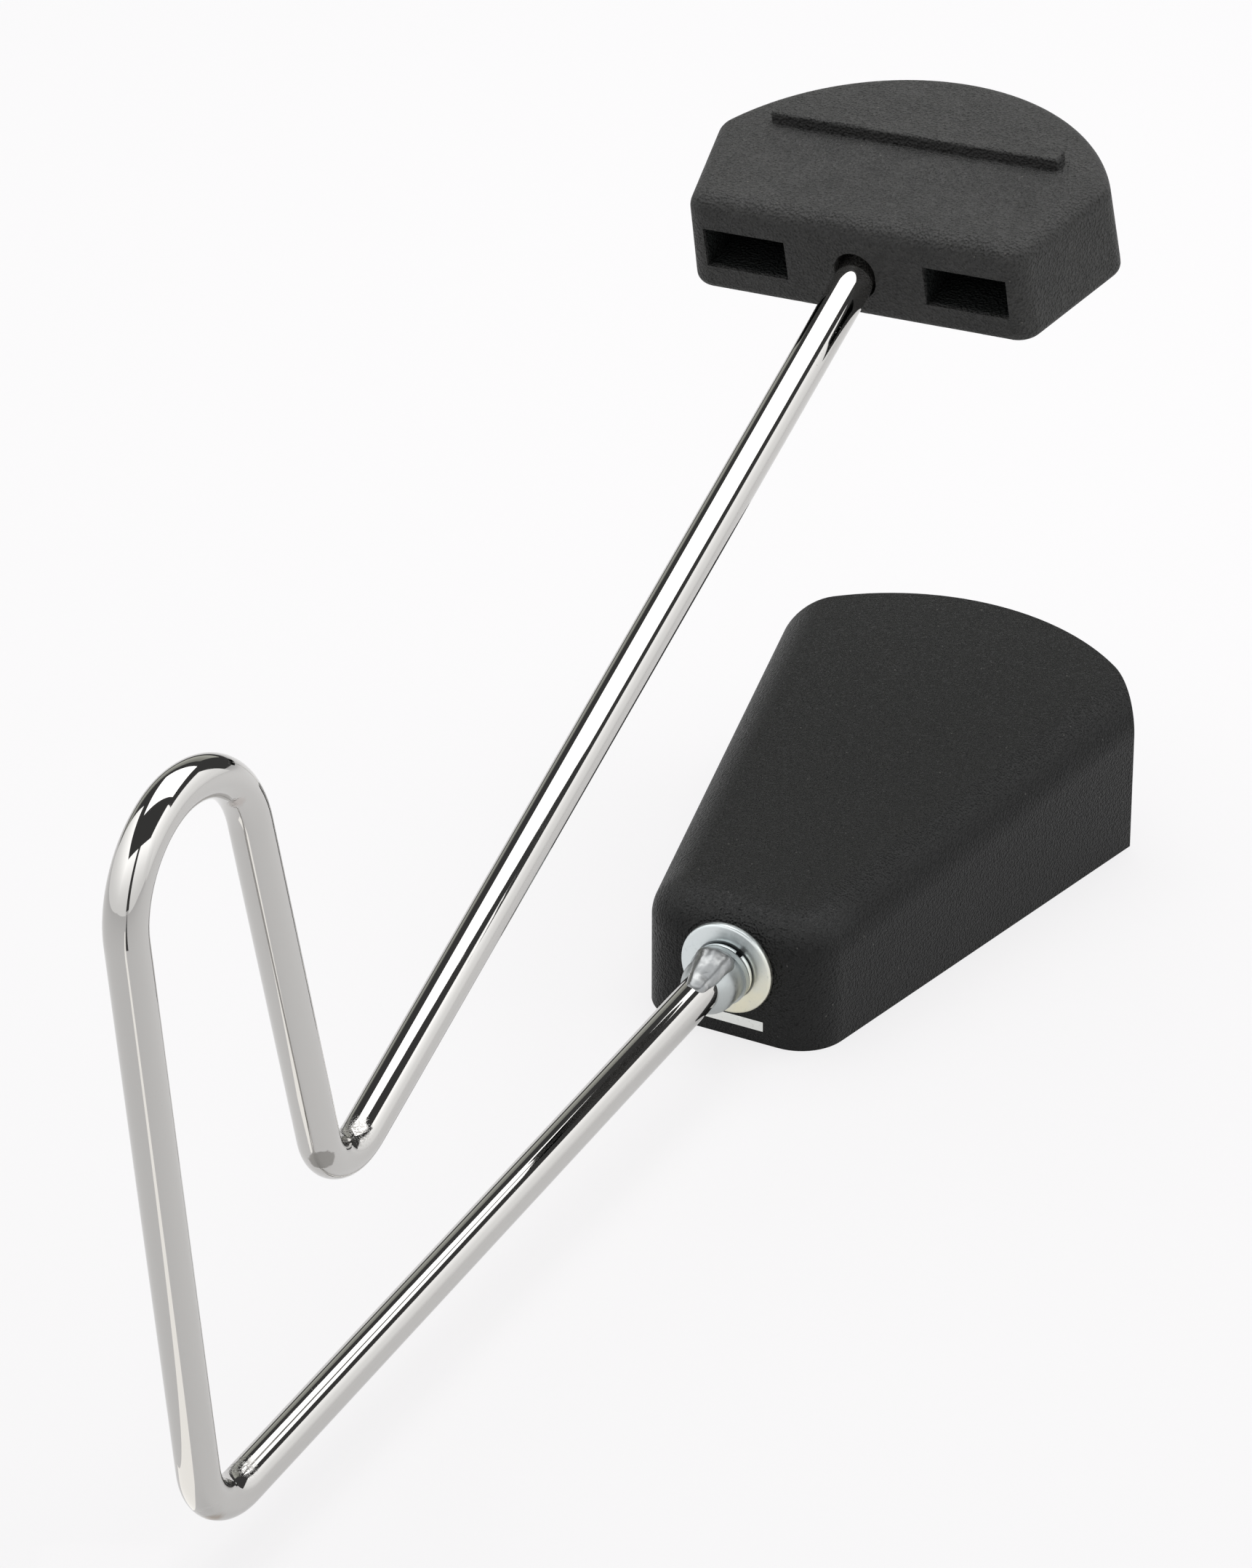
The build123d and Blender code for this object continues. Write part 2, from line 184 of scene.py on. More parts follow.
def wire(tree, socket, value):
    """Link a socket to another node's output, or set it."""
    if isinstance(value, bpy.types.NodeSocket):
        tree.links.new(value, socket)
    else:
        socket.default_value = value


def new_finish(name, metallic=0.0):
    """Material with a Principled shader, and its object coordinates."""
    material = bpy.data.materials.new(name)
    material.use_nodes = True
    tree = material.node_tree
    shader = tree.nodes["Principled BSDF"]
    shader.inputs["Metallic"].default_value = metallic
    points = tree.nodes.new("ShaderNodeTexCoord").outputs["Object"]
    return material, tree, shader, points


def surface(tree, shader, colour, roughness):
    """Lead a colour and a roughness to the shader."""
    wire(tree, shader.inputs["Base Color"], colour)
    wire(tree, shader.inputs["Roughness"], roughness)


def maths(tree, operation, first, second=0.0):
    """One arithmetic step."""
    node = tree.nodes.new("ShaderNodeMath")
    node.operation = operation
    wire(tree, node.inputs[0], first)
    wire(tree, node.inputs[1], second)
    return node.outputs[0]


def times(tree, first, *others):
    """Product of all the values."""
    for other in others:
        first = maths(tree, "MULTIPLY", first, other)
    return first


def most(tree, first, *others):
    """Largest of all the values."""
    for other in others:
        first = maths(tree, "MAXIMUM", first, other)
    return first


def apart(tree, value, middle):
    """How far a value is from a middle, to either side."""
    return maths(tree, "ABSOLUTE", maths(tree, "SUBTRACT", value, middle))


def split(tree, vector):
    """The x, y and z of a vector."""
    node = tree.nodes.new("ShaderNodeSeparateXYZ")
    wire(tree, node.inputs[0], vector)
    return node.outputs


def facing_up(tree, points):
    """How much the surface faces up: 1 on a level top, 0 on a wall."""
    return split(tree, points.node.outputs["Normal"])["Z"]


def stretched(tree, points, scale):
    """Coordinates with a scale of their own along each axis."""
    node = tree.nodes.new("ShaderNodeMapping")
    wire(tree, node.inputs["Vector"], points)
    node.inputs["Scale"].default_value = scale
    return node.outputs[0]


def cloudy(tree, points, scale, detail=2.0, rough=0.5):
    """Noise pattern, its scale in patches per metre."""
    node = tree.nodes.new("ShaderNodeTexNoise")
    wire(tree, node.inputs["Vector"], points)
    node.inputs["Scale"].default_value = scale
    node.inputs["Detail"].default_value = detail
    node.inputs["Roughness"].default_value = rough
    return node.outputs["Fac"]


def cells(tree, points, scale, smooth=None):
    """Distance to scattered centres, in cells per metre; smooth gives rounded pebbles."""
    node = tree.nodes.new("ShaderNodeTexVoronoi")
    wire(tree, node.inputs["Vector"], points)
    node.inputs["Scale"].default_value = scale
    if smooth is not None:
        node.feature = "SMOOTH_F1"
        node.inputs["Smoothness"].default_value = smooth
    return node.outputs["Distance"]


def ramp(tree, value, low, high, start=0.0, end=1.0):
    """Value from low to high spread over start to end, and held beyond."""
    node = tree.nodes.new("ShaderNodeMapRange")
    node.interpolation_type = "SMOOTHSTEP"
    wire(tree, node.inputs["Value"], value)
    node.inputs["From Min"].default_value = low
    node.inputs["From Max"].default_value = high
    node.inputs["To Min"].default_value = start
    node.inputs["To Max"].default_value = end
    return node.outputs["Result"]


def fade(tree, value, full, gone):
    """1 while a value is below full, falling to 0 where it is gone."""
    return ramp(tree, value, full, gone, 1.0, 0.0)


# Places of the Mix node's colour sockets, which share their names with its number sockets
MIX_FACTOR = 0
MIX_COLOURS = (6, 7)
MIX_RESULT = 2


def blend(tree, factor, *colours):
    """Mix of two colours, from the first to the second as the factor rises."""
    node = tree.nodes.new("ShaderNodeMix")
    node.data_type = "RGBA"
    wire(tree, node.inputs[MIX_FACTOR], factor)
    for socket, colour in zip(MIX_COLOURS, colours):
        is_pattern = isinstance(colour, bpy.types.NodeSocket)
        wire(tree, node.inputs[socket], colour if is_pattern else (*colour, 1))
    return node.outputs[MIX_RESULT]


def near(tree, points, mark):
    """1 on a mark on the part, fading out at its end."""
    middle, core, reach = mark
    node = tree.nodes.new("ShaderNodeVectorMath")
    node.operation = "DISTANCE"
    wire(tree, node.inputs[0], points)
    node.inputs[1].default_value = middle
    return fade(tree, node.outputs["Value"], core, reach)


def emboss(tree, shader, *layers):
    """Stack bumps, each a height pattern with its depth in metres and its strength."""
    normal = None
    for height, depth, strength in layers:
        node = tree.nodes.new("ShaderNodeBump")
        node.inputs["Distance"].default_value = depth
        wire(tree, node.inputs["Strength"], strength)
        wire(tree, node.inputs["Height"], height)
        if normal is not None:
            tree.links.new(normal, node.inputs["Normal"])
        normal = node.outputs["Normal"]
    tree.links.new(normal, shader.inputs["Normal"])


# Chrome of the rod
CHROME = (0.575, 0.565, 0.55)
CHROME_DULL = (0.33, 0.32, 0.305)
CHROME_STAINED = (0.30, 0.22, 0.15)
CHROME_CREASED = (0.50, 0.44, 0.41)
SMEARS_PER_M = 90
PITS_PER_M = 900
PIT_PATCHES_PER_M = 45
CRUMBS_PER_M = 1700
SWELLS_PER_M = 160
SWELL_HIGH = 0.00003
PIT_DEEP = 0.00005
DENT_DEEP = 0.0003
JAGS_PER_M = 900
JAG = 0.0006


def ragged(tree, points):
    """Coordinates jogged to and fro, so that a mark on them has a ragged edge."""
    noisy = tree.nodes.new("ShaderNodeTexNoise")
    wire(tree, noisy.inputs["Vector"], points)
    noisy.inputs["Scale"].default_value = JAGS_PER_M
    jog = tree.nodes.new("ShaderNodeVectorMath")
    jog.operation = "MULTIPLY_ADD"
    wire(tree, jog.inputs[0], noisy.outputs["Color"])
    jog.inputs[1].default_value = (2 * JAG, 2 * JAG, 2 * JAG)
    jog.inputs[2].default_value = (-JAG, -JAG, -JAG)
    moved = tree.nodes.new("ShaderNodeVectorMath")
    moved.operation = "ADD"
    wire(tree, moved.inputs[0], points)
    wire(tree, moved.inputs[1], jog.outputs[0])
    return moved.outputs[0]


def make_chrome():
    """Bright chrome: faint handling smears and pits, with the dull marks that bending left."""
    material, tree, shader, points = new_finish("chrome", metallic=1.0)
    pits = fade(tree, cells(tree, points, PITS_PER_M), 0.05, 0.11)
    pits = times(tree, pits, ramp(tree, cloudy(tree, points, PIT_PATCHES_PER_M, 3, 0.6), 0.60, 0.72))
    bends = most(tree, near(tree, points, FIRST_BEND_INSIDE), near(tree, points, SECOND_BEND_INSIDE))
    crumbs = times(tree, bends, ramp(tree, cloudy(tree, points, CRUMBS_PER_M, 3, 0.6), 0.50, 0.58))
    jogged = ragged(tree, points)
    facet = near(tree, jogged, FIRST_BEND_FACET)
    stain = near(tree, jogged, FIRST_BEND_STAIN)
    crease = near(tree, jogged, GRIP_CREASE)
    dull = most(tree, pits, crumbs, near(tree, jogged, PRESS_MARK))
    colour = blend(tree, dull, CHROME, CHROME_DULL)
    colour = blend(tree, times(tree, stain, 0.7), colour, CHROME_STAINED)
    colour = blend(tree, times(tree, crease, 0.5), colour, CHROME_CREASED)
    roughness = ramp(tree, cloudy(tree, points, SMEARS_PER_M, 4, 0.6), 0.45, 0.75, 0.025, 0.07)
    for mark, added in ((dull, 0.32), (facet, 0.16), (crease, 0.2)):
        roughness = maths(tree, "ADD", roughness, times(tree, mark, added))
    surface(tree, shader, colour, roughness)
    swells = cloudy(tree, points, SWELLS_PER_M)
    dents = maths(tree, "ADD", facet, crease)
    emboss(tree, shader, (swells, SWELL_HIGH, 0.12), (dull, -PIT_DEEP, 0.5), (dents, -DENT_DEEP, 0.5))
    return material


# Black plastic of the box
BOX_BLACK = (0.0187, 0.0190, 0.0190)
BOX_BLACK_PALER = (0.0236, 0.0240, 0.0240)
# Paler colour of the painted highlight on the front top edge
BOX_EDGE_HIGHLIGHT = (0.034, 0.0345, 0.0345)
BOX_DUST = (0.22, 0.215, 0.20)
BOX_SHADES_PER_M = 260
BOX_DUST_PER_M = 210
BOX_PEBBLES_PER_M = 1700
BOX_PEBBLE_DEEP = 0.00065
BOX_LEATHER_PER_M = 850
BOX_LEATHER_DEEP = 0.0004


def mould_lines(tree, x, y, z):
    """1 on the two upright lines of the box's front wall."""
    off_line = apart(tree, maths(tree, "ABSOLUTE", y), MOULD_LINE_Y)
    line = fade(tree, off_line, 0.0001, 0.0004)
    above = ramp(tree, z, MOULD_LINE_LOW, MOULD_LINE_LOW + 0.002)
    below = fade(tree, z, MOULD_LINE_HIGH - 0.003, MOULD_LINE_HIGH)
    on_wall = fade(tree, x, WALL_X + 0.0005, WALL_X + 0.001)
    return times(tree, line, above, below, on_wall)


def make_box_plastic():
    """Black moulding, fine pebble grain: glossier on top, leathery and a little smoother in front, with a
    painted highlight on the front top edge, a little dusty.
    """
    material, tree, shader, points = new_finish("box_plastic")
    x, y, z = split(tree, points)
    up = facing_up(tree, points)
    colour = blend(tree, cloudy(tree, points, BOX_SHADES_PER_M, 4, 0.7), BOX_BLACK, BOX_BLACK_PALER)
    rounded_edge = times(tree, ramp(tree, up, 0.25, 0.65), fade(tree, up, 0.85, 0.99))
    # Painted highlight: the rounded edge near the front wall is made paler, as if it catches the light
    painted_edge_highlight = times(tree, rounded_edge, fade(tree, x, WALL_X + 0.010, WALL_X + 0.022))
    colour = blend(tree, painted_edge_highlight, colour, BOX_EDGE_HIGHLIGHT)
    dust = fade(tree, cells(tree, points, BOX_DUST_PER_M), 0.035, 0.065)
    colour = blend(tree, times(tree, dust, 0.45), colour, BOX_DUST)
    pebbles = cells(tree, points, BOX_PEBBLES_PER_M, 0.5)
    leather = cells(tree, points, BOX_LEATHER_PER_M, 0.6)
    in_front = fade(tree, x, WALL_X + 0.004, WALL_X + 0.016)
    roughness = ramp(tree, pebbles, 0.1, 0.6, 0.30, 0.46)
    roughness = maths(tree, "ADD", roughness, times(tree, in_front, -0.05))
    surface(tree, shader, colour, roughness)
    wire(tree, shader.inputs["Specular IOR Level"], ramp(tree, up, 0.4, 0.9, 0.15, 0.3))
    leather_strength = times(tree, in_front, 0.9)
    emboss(tree, shader, (pebbles, BOX_PEBBLE_DEEP, 0.9), (leather, BOX_LEATHER_DEEP, leather_strength),
           (mould_lines(tree, x, y, z), MOULD_LINE_DEEP, 0.6))
    return material


# Rubber of the striker
RUBBER = (0.073, 0.073, 0.072)
RUBBER_HANDLED = (0.087, 0.0865, 0.085)
RUBBER_DUST = (0.24, 0.23, 0.21)
# Colour of the painted shade inside the pockets
RUBBER_POCKET_SHADE = (0.035, 0.039, 0.038)
RUBBER_BLOOM_PER_M = 120
RUBBER_DUST_PER_M = 260
RUBBER_PEBBLES_PER_M = 1500
RUBBER_PEBBLE_DEEP = 0.0009
RUBBER_SKIN_PER_M = 2600
RUBBER_SKIN_DEEP = 0.0003


def pocket_shade_mask(tree, points):
    """Mask for the painted shade on the walls of the striker's two front pockets, behind their rims: 1
    there.
    """
    own = tree.nodes.new("ShaderNodeMapping")
    own.vector_type = "TEXTURE"
    wire(tree, own.inputs["Vector"], points)
    own.inputs["Location"].default_value = STRIKER_AT
    own.inputs["Rotation"].default_value = STRIKER_LEAN
    deep, y, z = split(tree, own.outputs[0])
    off_y = apart(tree, maths(tree, "ABSOLUTE", y), POCKET_MIDDLE_Y)
    off_z = apart(tree, z, POCKET_MIDDLE_Z)
    across = fade(tree, off_y, POCKET_HALF_W + 0.0003, POCKET_HALF_W + 0.0006)
    upright = fade(tree, off_z, POCKET_HALF_H + 0.0003, POCKET_HALF_H + 0.0006)
    behind_rim = ramp(tree, deep, POCKET_RIM - 0.002, POCKET_RIM)
    before_end = fade(tree, deep, POCKET_DEEP + 0.0003, POCKET_DEEP + 0.001)
    return times(tree, across, upright, behind_rim, before_end)


def make_rubber():
    """Dull dark rubber with a coarse pebbled skin, greyer where handled, with painted shade darkening the
    inside of its pockets.
    """
    material, tree, shader, points = new_finish("striker_rubber")
    bloom = cloudy(tree, points, RUBBER_BLOOM_PER_M, 5, 0.65)
    colour = blend(tree, ramp(tree, bloom, 0.35, 0.7), RUBBER, RUBBER_HANDLED)
    dust = fade(tree, cells(tree, points, RUBBER_DUST_PER_M), 0.040, 0.070)
    colour = blend(tree, times(tree, dust, 0.5), colour, RUBBER_DUST)
    pocket_shade = pocket_shade_mask(tree, points)
    # Painted shade: the pocket walls are darkened as if in shadow
    colour = blend(tree, pocket_shade, colour, RUBBER_POCKET_SHADE)
    surface(tree, shader, colour, ramp(tree, bloom, 0.3, 0.7, 0.42, 0.55))
    sheen = ramp(tree, facing_up(tree, points), 0.4, 0.9, 0.08, 0.22)
    sheen = times(tree, sheen, ramp(tree, pocket_shade, 0.0, 1.0, 1.0, 0.3))
    wire(tree, shader.inputs["Specular IOR Level"], sheen)
    pebbles = cells(tree, points, RUBBER_PEBBLES_PER_M, 0.5)
    skin = cloudy(tree, points, RUBBER_SKIN_PER_M, 3, 0.6)
    emboss(tree, shader, (pebbles, RUBBER_PEBBLE_DEEP, 1.0), (skin, RUBBER_SKIN_DEEP, 0.7))
    return material


# Zinc plating of the bolt stack
ZINC_BLUISH = (0.93, 0.99, 1.0)
ZINC_STRAW = (1.08, 1.04, 0.83)
ZINC_SCUFFED = (0.46, 0.49, 0.50)
# Colour of the painted shade in the joints by the lock washer
ZINC_JOINT_SHADE = (0.085, 0.09, 0.095)
ZINC_TINTS_PER_M = 110
ZINC_SCUFFS_PER_M = 1300
ZINC_RIPPLES_PER_M = 700
ZINC_RIPPLE_HIGH = 0.00003
# Distances from each joint where its painted shade is full and where it is gone
JOINT_SHADE_FULL = 0.0002
JOINT_SHADE_GONE = 0.0004


def painted_joint_shade(tree, x, y, z):
    """Painted shade in the two ring-shaped joints before and behind the lock washer."""
    up = maths(tree, "SUBTRACT", z, BOLT_Z)
    radius = maths(tree, "SQRT", maths(tree, "ADD", times(tree, y, y), times(tree, up, up)))
    behind = fade(tree, apart(tree, x, LOCK_BACK), JOINT_SHADE_FULL, JOINT_SHADE_GONE)
    behind = times(tree, behind, fade(tree, radius, LOCK_R + 0.0002, LOCK_R + 0.0005))
    before = fade(tree, apart(tree, x, LOCK_BACK - LOCK_T), JOINT_SHADE_FULL, JOINT_SHADE_GONE)
    return times(tree, most(tree, behind, before), 0.85)


def make_zinc(name, bright, warmth):
    """Satin zinc plating, bluish, turning straw-coloured low on the right, with fine scuffs and painted
    shade in the joints by the lock washer.
    """
    material, tree, shader, points = new_finish(name, metallic=1.0)
    x, y, z = split(tree, points)
    low_right = fade(tree, maths(tree, "ADD", y, z), BOLT_Z - 0.013, BOLT_Z + 0.004)
    straw = ramp(tree, cloudy(tree, points, ZINC_TINTS_PER_M), 0.3, 0.6, 0.55, 1.0)
    straw = times(tree, straw, low_right, warmth)
    bluish_zinc = [bright * channel for channel in ZINC_BLUISH]
    straw_zinc = [bright * channel for channel in ZINC_STRAW]
    colour = blend(tree, straw, bluish_zinc, straw_zinc)
    scuffs = cloudy(tree, points, ZINC_SCUFFS_PER_M, 4, 0.65)
    colour = blend(tree, ramp(tree, scuffs, 0.58, 0.74, 0.0, 0.3), colour, ZINC_SCUFFED)
    # Painted shade: the joints before and behind the lock washer are darkened as if in shadow
    colour = blend(tree, painted_joint_shade(tree, x, y, z), colour, ZINC_JOINT_SHADE)
    surface(tree, shader, colour, ramp(tree, scuffs, 0.3, 0.75, 0.30, 0.44))
    emboss(tree, shader, (cloudy(tree, points, ZINC_RIPPLES_PER_M, 3, 0.6), ZINC_RIPPLE_HIGH, 0.3))
    return material


# Grey of the weld
WELD_GREY = (0.29, 0.30, 0.305)
WELD_GREY_PALER = (0.44, 0.45, 0.45)
WELD_MOTTLE_PER_M = 240
WELD_GRAIN_PER_M = 900
WELD_GRAIN_HIGH = 0.00006


def make_weld_metal():
    """Satin grey weld, lumpy and lightly plated."""
    material, tree, shader, points = new_finish("weld_metal", metallic=1.0)
    mottle = cloudy(tree, points, WELD_MOTTLE_PER_M, 3)
    colour = blend(tree, ramp(tree, mottle, 0.38, 0.66), WELD_GREY, WELD_GREY_PALER)
    surface(tree, shader, colour, ramp(tree, mottle, 0.35, 0.65, 0.40, 0.27))
    emboss(tree, shader, (cloudy(tree, points, WELD_GRAIN_PER_M, 3, 0.6), WELD_GRAIN_HIGH, 0.35))
    return material


# Sheet metal of the rattle plate
SHEET_ZINC = (0.92, 0.935, 0.905)
SHEET_SPOTTED = (0.62, 0.63, 0.60)
SHEET_LINES_PER_M = 60
SHEET_LINE_STRETCH = (1, 14, 14)
SHEET_LINE_DEEP = 0.00003
SHEET_SPOTS_PER_M = 700
SHEET_SPOT_DEEP = 0.00004


def make_sheet_zinc():
    """Zinc-plated sheet steel with rolling lines and dull spots."""
    material, tree, shader, points = new_finish("sheet_zinc", metallic=1.0)
    lines = cloudy(tree, stretched(tree, points, SHEET_LINE_STRETCH), SHEET_LINES_PER_M, 3, 0.6)
    spots = cloudy(tree, points, SHEET_SPOTS_PER_M, 4, 0.7)
    colour = blend(tree, ramp(tree, spots, 0.55, 0.7, 0.0, 0.6), SHEET_ZINC, SHEET_SPOTTED)
    surface(tree, shader, colour, ramp(tree, lines, 0.3, 0.7, 0.28, 0.42))
    emboss(tree, shader, (lines, SHEET_LINE_DEEP, 0.3), (spots, SHEET_SPOT_DEEP, 0.3))
    return material


# Steel of the rattle pins
PIN_STEEL = (0.56, 0.56, 0.55)
PIN_TARNISHED = (0.36, 0.34, 0.31)
PIN_LINES_PER_M = 240
PIN_LINE_STRETCH = (1, 1, 18)
PIN_LINE_DEEP = 0.00003
PIN_TARNISH_PER_M = 300


def make_pin_steel():
    """Plain drawn steel with fine lines round the shank and light tarnish."""
    material, tree, shader, points = new_finish("pin_steel", metallic=1.0)
    lines = cloudy(tree, stretched(tree, points, PIN_LINE_STRETCH), PIN_LINES_PER_M, 3, 0.6)
    tarnish = cloudy(tree, points, PIN_TARNISH_PER_M, 3, 0.6)
    colour = blend(tree, ramp(tree, tarnish, 0.5, 0.75), PIN_STEEL, PIN_TARNISHED)
    surface(tree, shader, colour, ramp(tree, lines, 0.3, 0.7, 0.18, 0.32))
    emboss(tree, shader, (lines, PIN_LINE_DEEP, 0.3))
    return material


# Rod

def bent_line():
    """Points along the rod's centre line: straight runs joined by round bends."""
    corners = [Vector((x, 0, z)) for x, z in ROD_CORNERS]
    line = [corners[0]]
    for before, corner, after, radius in zip(corners, corners[1:], corners[2:], ROD_BENDS):
        back = (before - corner).normalized()
        ahead = (after - corner).normalized()
        half = back.angle(ahead) / 2
        centre = corner + (back + ahead).normalized() * radius / sin(half)
        spoke = corner + back * radius / tan(half) - centre
        swing = pi - 2 * half
        axis = spoke.cross(-back)
        steps = ceil(radius * swing / ROD_RING)
        line += [centre + Quaternion(axis, swing * step / steps) @ spoke for step in range(steps + 1)]
    return line + [corners[-1]]


def new_tree(name, **sizes):
    """Geometry tree with geometry in and out and a named input for each size."""
    tree = bpy.data.node_groups.new(name, "GeometryNodeTree")
    tree.interface.new_socket("Geometry", in_out="INPUT", socket_type="NodeSocketGeometry")
    for label, kind in sizes.items():
        tree.interface.new_socket(label, in_out="INPUT", socket_type="NodeSocket" + kind)
    tree.interface.new_socket("Geometry", in_out="OUTPUT", socket_type="NodeSocketGeometry")
    return tree, tree.nodes.new("NodeGroupInput").outputs, tree.nodes.new("NodeGroupOutput").inputs


def rod_sweep_tree(material):
    """Round bar along a curve, with a slight waviness in its skin."""
    tree, given, result = new_tree("rod_sweep", bar_radius="Float", sides="Int", ring_spacing="Float",
                                   waviness="Float", waves_per_metre="Float", seed="Float")
    resample = tree.nodes.new("GeometryNodeResampleCurve")
    resample.mode = "LENGTH"
    wire(tree, resample.inputs["Curve"], given["Geometry"])
    wire(tree, resample.inputs["Length"], given["ring_spacing"])
    circle = tree.nodes.new("GeometryNodeCurvePrimitiveCircle")
    wire(tree, circle.inputs["Resolution"], given["sides"])
    wire(tree, circle.inputs["Radius"], given["bar_radius"])
    bar = tree.nodes.new("GeometryNodeCurveToMesh")
    wire(tree, bar.inputs["Curve"], resample.outputs["Curve"])
    wire(tree, bar.inputs["Profile Curve"], circle.outputs["Curve"])
    bar.inputs["Fill Caps"].default_value = True
    ripple = tree.nodes.new("ShaderNodeTexNoise")
    ripple.noise_dimensions = "4D"
    wire(tree, ripple.inputs["W"], given["seed"])
    wire(tree, ripple.inputs["Scale"], given["waves_per_metre"])
    swell = times(tree, maths(tree, "SUBTRACT", ripple.outputs["Fac"], 0.5), given["waviness"])
    push = tree.nodes.new("ShaderNodeVectorMath")
    push.operation = "SCALE"
    wire(tree, push.inputs[0], tree.nodes.new("GeometryNodeInputNormal").outputs[0])
    wire(tree, push.inputs["Scale"], swell)
    skin = tree.nodes.new("GeometryNodeSetPosition")
    wire(tree, skin.inputs["Geometry"], bar.outputs["Mesh"])
    wire(tree, skin.inputs["Offset"], push.outputs[0])
    real = tree.nodes.new("GeometryNodeRealizeInstances")
    wire(tree, real.inputs[0], skin.outputs["Geometry"])
    paint = tree.nodes.new("GeometryNodeSetMaterial")
    paint.inputs["Material"].default_value = material
    wire(tree, paint.inputs["Geometry"], real.outputs[0])
    wire(tree, result["Geometry"], paint.outputs["Geometry"])
    return tree


def run_tree(thing, tree, **sizes):
    """Finished mesh of an object after a geometry tree, its named inputs set."""
    step = thing.modifiers.new(tree.name, "NODES")
    step.node_group = tree
    sockets = {item.name: item.identifier for item in tree.interface.items_tree if item.in_out == "INPUT"}
    for label, value in sizes.items():
        step[sockets[label]] = value
    return finished_mesh(thing)


def make_rod(chrome):
    """Bent round bar swept along its centre line."""
    points = bent_line()
    curve = bpy.data.curves.new("rod_line", "CURVE")
    curve.dimensions = "3D"
    spline = curve.splines.new("POLY")
    spline.points.add(len(points) - 1)
    for knot, point in zip(spline.points, points):
        knot.co = (*point, 1)
    line = bpy.data.objects.new("rod_line", curve)
    scene.collection.objects.link(line)
    mesh = run_tree(line, rod_sweep_tree(chrome), bar_radius=ROD_R, sides=ROD_SIDES, ring_spacing=ROD_RING,
                    waviness=ROD_WAVE, waves_per_metre=ROD_WAVES_PER_M, seed=ROD_SEED)
    new_piece("spring_rod", mesh, chrome, "rod")


# Washers and weld

def rounded_section(inner, outer, low, high, edge):
    """Section of a ring as (out, along) points, its corners rounded."""
    corners = ((outer - edge, high - edge, 0), (inner + edge, high - edge, 90),
               (inner + edge, low + edge, 180), (outer - edge, low + edge, 270))
    return [(out + edge * cos(radians(start + swing)), along + edge * sin(radians(start + swing)))
            for out, along, start in corners for swing in range(0, 91, EDGE_STEP_DEG)]


def turned(section, start=0.0, swing=2 * pi, rise=0.0):
    """Section turned about the bolt's axis; a part turn is capped and may climb along the bolt."""
    whole = swing == 2 * pi
    build = bmesh.new()
    rings = []
    for step in range(TURN_STEPS if whole else TURN_STEPS + 1):
        share = step / TURN_STEPS
        angle = start + swing * share
        climb = rise * (share - 0.5)
        rings.append([build.verts.new((along + climb, out * sin(angle), BOLT_Z + out * cos(angle)))
                      for out, along in section])
    for here, there in zip(rings, rings[1:] + rings[:1] if whole else rings[1:]):
        for one in range(len(section)):
            two = (one + 1) % len(section)
            build.faces.new((here[one], here[two], there[two], there[one]))
    if not whole:
        build.faces.new(rings[0])
        build.faces.new(rings[-1])
    bmesh.ops.recalc_face_normals(build, faces=build.faces)
    mesh = bpy.data.meshes.new("turned")
    build.to_mesh(mesh)
    build.free()
    return mesh


def make_flat_washer(zinc):
    """Large washer with rolled edges."""
    section = rounded_section(WASHER_BORE_R, WASHER_R, WALL_X - WASHER_T, WALL_X, WASHER_EDGE)
    new_piece("washer_rolled", turned(section), zinc, "flat_washer")


def make_lock_washer(zinc):
    """Spring washer, split and slightly wound so that its ends stand apart."""
    low = LOCK_BACK - LOCK_T + LOCK_RISE / 2
    high = LOCK_BACK - LOCK_RISE / 2
    section = rounded_section(WASHER_BORE_R, LOCK_R, low, high, LOCK_EDGE)
    mesh = turned(section, -LOCK_SPLIT_AT + LOCK_SPLIT / 2, 2 * pi - LOCK_SPLIT, LOCK_RISE)
    new_piece("washer_split", mesh, zinc, "lock_washer")


def weld_beads():
    """Three chains of shrinking beads, still apart."""
    build = bmesh.new()
    for turn in WELD_TURNS:
        back_turn = turn + WELD_BACK_LEAN
        tip_turn = turn * WELD_CLOSING + WELD_TIP_LEAN
        back = WELD_BACK + Vector((0, sin(back_turn), cos(back_turn))) * WELD_BACK_OUT
        tip = WELD_TIP + Vector((0, sin(tip_turn), cos(tip_turn))) * WELD_TIP_OUT
        for bead in range(WELD_BEADS):
            share = bead / (WELD_BEADS - 1)
            radius = WELD_BACK_R + (WELD_TIP_R - WELD_BACK_R) * share
            at = Matrix.Translation(back.lerp(tip, share))
            bmesh.ops.create_icosphere(build, subdivisions=3, radius=radius, matrix=at)
    mesh = bpy.data.meshes.new("weld_beads")
    build.to_mesh(mesh)
    build.free()
    return mesh


def make_weld(metal):
    """Beads melted together and left lumpy."""
    lump = bpy.data.objects.new("weld_beads", weld_beads())
    scene.collection.objects.link(lump)
    melt = lump.modifiers.new("melt", "REMESH")
    melt.mode = "VOXEL"
    melt.voxel_size = WELD_VOXEL
    settle = lump.modifiers.new("settle", "SMOOTH")
    settle.iterations = WELD_SMOOTHING
    melted = finished_mesh(lump)
    for vertex in melted.vertices:
        lumpy = noise.noise(vertex.co * WELD_LUMPS_PER_M) * WELD_LUMP_HIGH
        rippled = noise.noise(vertex.co * WELD_RIPPLES_PER_M) * WELD_RIPPLE_HIGH
        vertex.co += vertex.normal * (lumpy + rippled - WELD_SINK)
    new_piece("weld_lumps", melted, metal, "weld_bead")


# Studio

